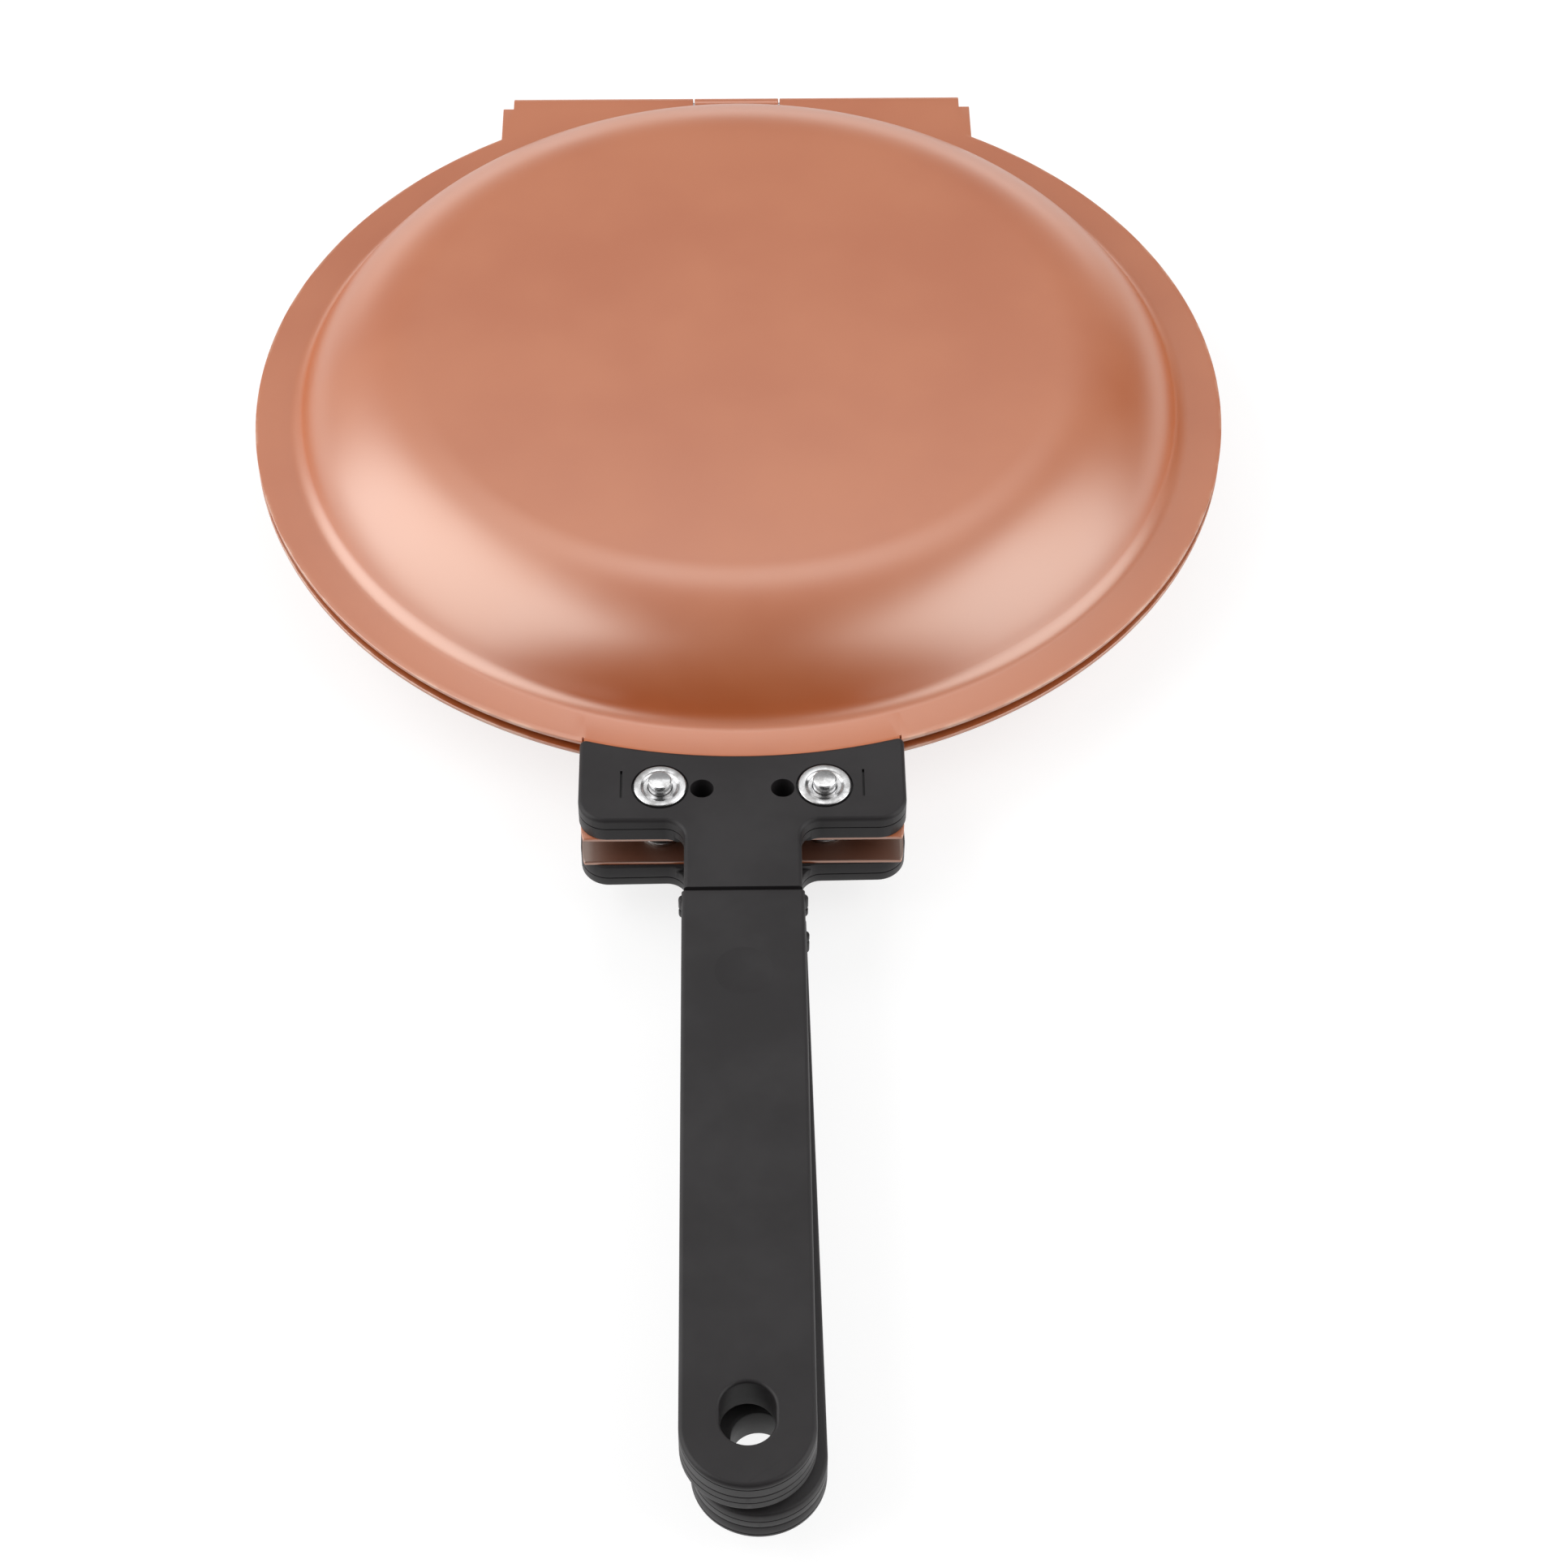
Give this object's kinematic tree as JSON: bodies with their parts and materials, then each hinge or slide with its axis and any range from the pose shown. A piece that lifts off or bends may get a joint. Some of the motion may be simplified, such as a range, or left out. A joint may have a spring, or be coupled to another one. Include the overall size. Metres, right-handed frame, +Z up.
{
  "type": "double sided flip pan",
  "caption": "Two shallow round coated pans hinged rim to rim, each with a flat dark handle riveted to a tab; shut they cook a pancake that is turned by flipping the whole pan.",
  "frame": {"origin": "centre of the lower pan's flat base, on the surface it stands on", "axes": "+Z up, the shut pan lies flat; the handles point to -Y and the hinge is at +Y, its axis along X"},
  "size_m": [0.19, 0.3402, 0.037],
  "materials": {
    "pan_coating": "satin copper coloured non-stick coating",
    "handle": "fine matte, moulded",
    "handle_cover": "fine matte, moulded",
    "rivet": "bright",
    "washer": "bright",
    "pin_wire": "drawn wire",
    "magnet": "nickel plated"
  },
  "bodies": {
    "lower_half": {"lower_pan": "pan_coating", "lower_handle": "handle", "lower_handle_cover": "handle_cover", "lower_magnet": "magnet", "lower_rivet_left": "rivet", "lower_rivet_right": "rivet", "lower_washer_left": "washer", "lower_washer_right": "washer"},
    "upper_half": {"upper_pan": "pan_coating", "hinge_pin": "pin_wire", "upper_handle": "handle", "upper_handle_cover": "handle_cover", "upper_magnet": "magnet", "upper_rivet_left": "rivet", "upper_rivet_right": "rivet", "upper_washer_left": "washer", "upper_washer_right": "washer"}
  },
  "joints": [
    {"name": "pan_hinge", "type": "hinge", "parent": "lower_half", "child": "upper_half", "pos_m": [0, 0.09335, 0.0185], "axis": [-1, 0, 0], "range_deg": [0, 180]}
  ]
}
